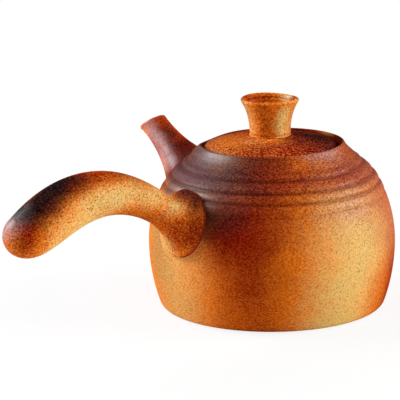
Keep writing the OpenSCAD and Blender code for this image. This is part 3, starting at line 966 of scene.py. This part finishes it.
def painted(tree, base, at, patches):
    """A base tone that drifts a little, with each patch laid over it, and the mask of its smoke and
    of its painted sheen and highlights.
    """
    spot = node(tree, "TexCoord", out=3)
    drift = noise(tree, spot, 30.0, 5.0, 0.6)
    low, high = (tuple(c * k for c in base) + (1.0,) for k in DRIFT)
    colour = blended(tree, ranged(tree, drift, 0.3, 0.7), low, high)
    smoke = []
    for tone, *row in patches:
        share = patch_mask(tree, at, *row)
        colour = blended(tree, share, colour, tone + (1.0,))
        if tone in SMOKE_AND_SHEEN_TONES:
            smoke.append(share)
    return colour, highest(tree, smoke)


# %% Sand, grooves and gloss
SMOKE_AND_SHEEN_CALM = -0.65
QUARTZ_SHARE, SAND_SHADE = 0.04, -0.04
SHEEN_PITS, GROOVE_MATT = (0.8, 1.2), -0.7


def sanded(tree, colour, sand, grain, iron, line):
    """The colour with each grain of sand burnt or paled, grooves darkened by smoke and painted
    shade, and spots of iron.
    """
    # a power above 1 burns a grain darker and redder, and one just below 1 makes it paler
    power = calc(tree, "MULTIPLY_ADD", sand["Burn"], grain, 1.0)
    colour = node(tree, "Gamma", {0: colour, 1: power})
    quartz = ranged(tree, sand["Burn"], -0.1, -1.0, 0.0, QUARTZ_SHARE)
    colour = blended(tree, quartz, colour, QUARTZ)
    shade = calc(tree, "MULTIPLY_ADD", sand["Burn"], SAND_SHADE, 1.0)
    colour = node(tree, "VectorMath", {0: colour, "Scale": shade}, operation="SCALE")
    if line:
        colour = blended(tree, line, colour, GROOVE_SMOKE_AND_SHADE, blend_type="MULTIPLY")
    spots = calc(tree, "MULTIPLY", sand["Spots"], iron)
    return blended(tree, spots, colour, IRON)


def glossed(tree, sand, at, sheens, line):
    """The highest sheen at each point, pitted by the sand and less in a groove."""
    gloss = highest(tree, [patch_mask(tree, at, *sheen) for sheen in sheens])
    pitted = ranged(tree, sand["Grain"], 0.0, 1.0, *SHEEN_PITS)
    gloss = calc(tree, "MULTIPLY", gloss, pitted, use_clamp=True)
    if line:
        matt = calc(tree, "MULTIPLY_ADD", line, GROOVE_MATT, 1.0)
        gloss = calc(tree, "MULTIPLY", gloss, matt, use_clamp=True)
    return gloss


# %% Fired clay
COAT_ROUGH, SAND_ROUGH = 0.34, (0.65, 0.5)
SAND_LIFT, BUMP_STRENGTH, BUMP_DEPTH = 0.5, 0.35, 0.0003


def fired_clay(name, pieces, base, at, patches, sheens, grain=0.16, iron=0.7, coarse=None,
               grooves=0.0):
    """Bare clay for some pieces: a base tone, patches over it, some of them painted highlights,
    sheen or shadow, then sand, and smoke with painted shade in the grooves and marked hollows.
    A sheen is where smoke left a gloss, coarse is a patch where the sand shows more, and the
    function at turns the numbers of a place into a point."""
    material = bpy.data.materials.new(name)
    material.use_nodes = True
    tree = material.node_tree
    shader = tree.nodes["Principled BSDF"].inputs
    shader["Specular IOR Level"].default_value = 0.0
    shader["Coat Roughness"].default_value = COAT_ROUGH
    sand = use_group(tree, sand_group)
    colour, smoke_and_sheen = painted(tree, base, at, patches)
    if coarse:
        grain = calc(tree, "MULTIPLY_ADD", patch_mask(tree, at, *coarse), grain, grain)
    calm = calc(tree, "MULTIPLY_ADD", smoke_and_sheen, SMOKE_AND_SHEEN_CALM, 1.0)
    grain = calc(tree, "MULTIPLY", calm, grain)
    line = None
    # The marks paint shade: in the pot's grooves along with smoke, on the wall in its mouth, round
    # the lid's edge and in the knob's cup.
    if grooves:
        line = node(tree, "Attribute", out=2, attribute_name="groove")
        line = calc(tree, "MULTIPLY", line, grooves)
    pits = calc(tree, "MULTIPLY", calm, SAND_LIFT)
    marks = use_group(tree, marks_group)["Marks"]
    lift = calc(tree, "MULTIPLY_ADD", sand["Grain"], pits, marks)
    bump = {"Height": lift, "Strength": BUMP_STRENGTH, "Distance": BUMP_DEPTH}
    tree.links.new(sanded(tree, colour, sand, grain, iron, line), shader["Base Color"])
    tree.links.new(ranged(tree, sand["Grain"], 0.0, 1.0, *SAND_ROUGH), shader["Roughness"])
    tree.links.new(glossed(tree, sand, at, sheens, line), shader["Coat Weight"])
    tree.links.new(node(tree, "Bump", bump), shader["Normal"])
    for piece in pieces:
        mesh = bpy.data.objects[piece].data
        mesh.materials.clear()
        mesh.materials.append(material)
    print(f"{name}: {len(patches)} patches of flame and {len(sheens)} of sheen")


# %% The pot
fired_clay("pot_clay", ["pot_shell"], AMBER, on_pot, [
    (GOLD, 163, -12, 36, 88, 1), (GOLD, 75, 71, 42, 170, 0.79),
    (GOLD, 180, 44, 51, 78, 1), (RUST, 203, 71, 55, 103, 0.63),
    (RUST, 119, 56, 34, 130, 1), (EMBER, 192, 108, 286, 77, 0.46),
    (RUST, 175, 64, 26, 10, 0.29), (EMBER, 110, 55, 36, 26, 1),
    (RUST, 286, 93, 15, 86, 0.99), (SMOKE, 59, 80, 93, 10, 1),
    (SMOKE, 98, 63, 30, 16, 0.91), (SMOKE, 66, 86, 83, 49, 0.97),
    # The lilac patch at 73 degrees, 78 mm up, is partly bloom and partly a painted sheen on the
    # rings of the left shoulder.
    (EMBER, 177, 81, 48, 10, 0.83), (BLOOM_AND_SHEEN, 73, 78, 58, 21, 0.39),
    (SMOKE, 65, 35, 29, 51, 0.37), (EMBER, 205, 13, 34, 49, 1),
    (AMBER, 190, 14, 25, 40, 0.51), (SMOKE, 119, 91, 24, 122, 0.72),
    # The pink patch at 174 degrees, 94 mm up, is a painted highlight on the collar.
    (SMOKE, 233, 92, 48, 167, 0.68), (PINK_HIGHLIGHT, 174, 94, 25, 9, 0.42),
    (EMBER, 134, 84, 26, 68, 0.50), (SMOKE, 173, 100, 23, 80, 0.22),
    # The last patch is a painted highlight: a thin gold line of light on the rim's lip at the back
    # right.
    (GOLD, 256, 93.4, 11, 2.2, 1),
], [
    (83, 93, 40, 10, 0.63), (185, 68, 74, 53, 0.39),
    (81, 70, 28, 10, 1),
], coarse=(165, 84, 80, 36, 1.3), grooves=0.72)

# %% The spout
fired_clay("spout_clay", ["spout_shell"], RUST, on_spout_side, [
    # The pink patches along the spout's side are a painted sheen, a band of reflected light.
    (PINK_HIGHLIGHT, 11, 79, 16, 12, 1), (PINK_HIGHLIGHT, 33, 81, 13, 8, 1),
    (SMOKE, 5, 37, 16, 236, 1), (SMOKE, 26, 32, 6, 204, 1),
    (AMBER, 36, 127, 7, 6, 1), (EMBER, 11, 21, 10, 140, 1),
    (SOOT, 13, 16, 13, 6, 0.93), (AMBER, 14, 167, 19, 8, 0.81),
    (RUST, 30, 20, 7, 115, 1), (AMBER, 34, 124, 8, 58, 0.33),
    (PINK_HIGHLIGHT, 24, 75, 9, 6, 1), (SMOKE, 20, 23, 7, 15, 0.99),
], [
    (7, 89, 11, 9, 0.98), (40, 48, 7, 35, 0.97),
    (28, 77, 8, 6, 1), (18, 81, 11, 7, 1),
])

# %% The handle
fired_clay("handle_clay", ["handle_grip"], AMBER, on_handle, [
    (GOLD, 53, 268, 43, 12, 0.95), (GOLD, 70, 223, 32, 19, 0.93),
    (GOLD, 19, 304, 14, 10, 0.94), (GOLD, 31, 289, 20, 9, 0.71),
    (RUST, 3, 355, 37, 11, 0.93), (EMBER, 1, 258, 57, 25, 0.91),
    (RUST, 58, 345, 178, 8, 1), (RUST, 82, 337, 23, 12, 1),
    (EMBER, 99, 291, 13, 114, 1), (SMOKE, 40, 87, 27, 179, 1),
    (SOOT, 69, 4, 25, 8, 1), (SOOT, 73, 348, 21, 8, 1),
    (SOOT, 78, 346, 21, 10, 1), (SOOT, 85, 342, 16, 18, 1),
    # The lilac patch at the end of the grip and the pink one beside it are painted highlights on
    # the end's rounded top.
    (BLOOM_AND_SHEEN, 101, 19, 14, 20, 1), (GOLD, 87, 207, 19, 11, 0.96),
    (GOLD, 3, 157, 15, 44, 0.63), (SMOKE, 0, 4, 19, 8, 1),
    (SMOKE, 4, 324, 10, 80, 0.88), (RUST, 55, 262, 25, 10, 0.21),
    (EMBER, 68, 312, 11, 8, 0.37), (AMBER, 96, 234, 10, 14, 0.82),
    (SOOT, 91, 7, 24, 10, 1), (PINK_HIGHLIGHT, 100, 67, 21, 8, 1),
], [
    (93, 0, 10, 60, 0.40), (103, 354, 10, 23, 0.53),
], grain=0.30, iron=1.0)

# %% The lid
fired_clay("lid_clay", ["lid_dome", "lid_flange"], RUST, on_plan, [
    # On the lid's right the dark patches are part smoke and part painted shadow, where the knob and
    # the rim cast shade on the lid.
    (EMBER, -10, -9, 94, 17, 80, 1), (EMBER, -43, -8, 94, 43, 61, 1),
    (SMOKE, 28, -31, 94, 108, 110, 0.79), (AMBER, -5, 8, 94, 18, 124, 0.77),
    (SOOT, -18, -23, 94, 34, 104, 0.92), (SMOKE, -40, -16, 94, 19, 13, 0.92),
    (GOLD, 11, 55, 94, 29, 43, 0.44), (AMBER, 13, 20, 94, 31, 10, 0.64),
    (GOLD, -1, 18, 94, 12, 51, 0.10),
], [
    (63, 54, 94, 77, 28, 0.32),
], grain=0.55, iron=0.8, grooves=0.9)

# %% The knob and the slip
fired_clay("knob_clay", ["knob_cup", "knob_seam"], AMBER, on_knob, [
    (GOLD, 54, 118, 12, 124, 0.67), (GOLD, 223, 113, 18, 29, 1),
    (RUST, 110, 118, 7, 23, 0.59), (RUST, 113, 98, 5, 97, 0.84),
    (AMBER, 186, 120, 5, 107, 0.73), (GOLD, 159, 114, 6, 37, 0.98),
    (RUST, 26, 120, 17, 33, 1), (RUST, 343, 116, 14, 3, 1),
    (EMBER, 235, 115, 14, 257, 0.97), (SMOKE, 119, 97, 5, 3, 1),
    # The last gold patch is a painted highlight on the crests of the rings inside the cup, on its
    # right.
    (GOLD, 268, 117, 8, 4, 0.60),
], [
    (24, 113, 11, 4, 1), (268, 117, 8, 4, 0.70),
], grain=0.34, grooves=0.6)

fired_clay("slip_clay", ["spout_seam", "handle_seam", "flange_seam"], EMBER, on_plan, [
    (RUST, 0, 70, 30, 50, 50, 0.7), (SMOKE, 65, 0, 70, 40, 40, 1),
], [(0, 70, 60, 50, 50, 0.2)])

# %% [markdown]
# ## Camera
#
# The camera stands where the photograph was taken from: about 1.25 m away, a little above the
# kettle, with a long lens and a roll of under a degree. Its axes are worked out from the way
# that it looks, so nothing has to be turned by hand.

# %% Camera
CAMERA_AT = Vector((-0.77143, 0.91935, 0.34935))
CAMERA_WAY = Vector((0.6497, -0.7232, -0.2344)).normalized()
CAMERA_ROLL = math.radians(0.868)
FOCAL_PX, FRAME_PX, SENSOR = 2176.2, 400, 36.0


def looking(place, way, roll=0.0):
    """A matrix whose -Z axis is way, with its X axis level and then dipped by roll."""
    level = way.cross(Vector((0, 0, 1))).normalized()
    above = level.cross(way)
    right = math.cos(roll) * level - math.sin(roll) * above
    matrix = Matrix((right, right.cross(way), -way)).transposed().to_4x4()
    matrix.translation = place
    return matrix


scene = bpy.context.scene
camera = put("camera", bpy.data.cameras.new("camera"))
camera.data.sensor_width = SENSOR
camera.data.lens = SENSOR * FOCAL_PX / FRAME_PX
camera.data.clip_end = 20.0
camera.matrix_world = looking(CAMERA_AT, CAMERA_WAY, CAMERA_ROLL)
scene.camera = camera
print(f"camera: {camera.data.lens:.0f} mm lens, {CAMERA_AT.length:.2f} m from the foot")

# %% [markdown]
# ## Light
#
# Two large soft boxes stand to the left and the right, as in a product studio. Each draws a
# broad sheen along one shoulder of the pot, and the middle stays deeper. A dim even light from
# all round fills the shadows.

# %% Lamps
LEVEL_WAY = Vector((CAMERA_WAY.x, CAMERA_WAY.y, 0)).normalized()
RIGHT = LEVEL_WAY.cross(Vector((0, 0, 1)))
MIDDLE = Vector((0, 0, 0.055))


def soft_box(name, place, size, power, colour):
    """An area lamp at (right, towards the camera, up) from the kettle, aimed at its middle."""
    x, y, z = place
    at = MIDDLE + x * RIGHT - y * LEVEL_WAY + Vector((0, 0, z))
    data = bpy.data.lights.new(name, "AREA")
    data.shape, data.size, data.size_y = "RECTANGLE", size[0], size[1]
    data.energy, data.color = power, colour
    put(name, data).matrix_world = looking(at, (MIDDLE - at).normalized())
    print(f"{name}: {power} W, {(MIDDLE - at).length:.2f} m away")


soft_box("left_box", (-1.05, -0.25, 0.62), (0.9, 0.7), 21.0, (0.98, 0.96, 1.0))
soft_box("right_box", (1.05, 0.1, 0.55), (0.9, 0.7), 17.0, (1.0, 0.95, 0.88))

# %% [markdown]
# ## Floor and background
#
# The background is plain white to the camera, and to gloss and glass, which would mirror it. A
# Light Path node tells these rays from the rest, which find a dim even light instead, so the
# white doesn't flood the matt clay. The floor works the same way, but it keeps a part of its own
# shading, and with it the kettle's shadow.

# %% Stage
AMBIENT = 0.24
FLOOR_R, FLOOR_Z, FLOOR_GREY, FLOOR_WHITE = 3.0, -0.0002, 0.85, 0.85
SHADOW_NEAR, SHADOW_FAR = 0.12, 0.5
WHITE = (1.0, 1.0, 1.0, 1.0)


def white_for_camera(tree, plain, white, share, surface):
    """Mixes a plain shader with white for the rays that the camera, gloss and glass send out."""
    path = tree.nodes.new("ShaderNodeLightPath").outputs
    seen = highest(tree, [path[f"Is {ray} Ray"] for ray in ("Camera", "Transmission", "Glossy")])
    part = calc(tree, "MULTIPLY", seen, share)
    mixed = node(tree, "MixShader", {0: part, 1: plain, 2: white})
    tree.links.new(mixed, surface.inputs[0])


# %% Background
world = bpy.data.worlds.new("studio")
world.use_nodes = True
scene.world = world
sky = world.node_tree
sky.nodes.clear()
dim = node(sky, "Background", {"Color": WHITE, "Strength": AMBIENT})
bright = node(sky, "Background", {"Color": WHITE, "Strength": 1.0})
white_for_camera(sky, dim, bright, 1.0, sky.nodes.new("ShaderNodeOutputWorld"))
scene.view_settings.view_transform = "Standard"
print("background: white to the camera, dim to the matt clay")

# %% Floor
floor_mesh = bpy.data.meshes.new("floor")
turn = circle(96)
rim = np.stack([FLOOR_R * np.cos(turn), FLOOR_R * np.sin(turn), np.full_like(turn, FLOOR_Z)], 1)
floor_mesh.from_pydata(rim.tolist(), [], [list(range(len(rim)))])
floor = put("floor", floor_mesh)
paper = bpy.data.materials.new("white_paper")
paper.use_nodes = True
sheet = paper.node_tree
sheet.nodes.clear()
matt = node(sheet, "BsdfDiffuse", {"Color": (FLOOR_GREY, FLOOR_GREY, FLOOR_GREY, 1.0)})
glow = node(sheet, "Emission", {"Color": WHITE, "Strength": 1.0})
spot = node(sheet, "TexCoord", out=3)
reach = node(sheet, "VectorMath", {0: spot}, out=1, operation="LENGTH")
share = ranged(sheet, reach, SHADOW_NEAR, SHADOW_FAR, FLOOR_WHITE, 1.0,
               interpolation_type="SMOOTHSTEP")
white_for_camera(sheet, matt, glow, share, sheet.nodes.new("ShaderNodeOutputMaterial"))
floor_mesh.materials.append(paper)
print("floor: white to the camera, with the kettle's shadow")
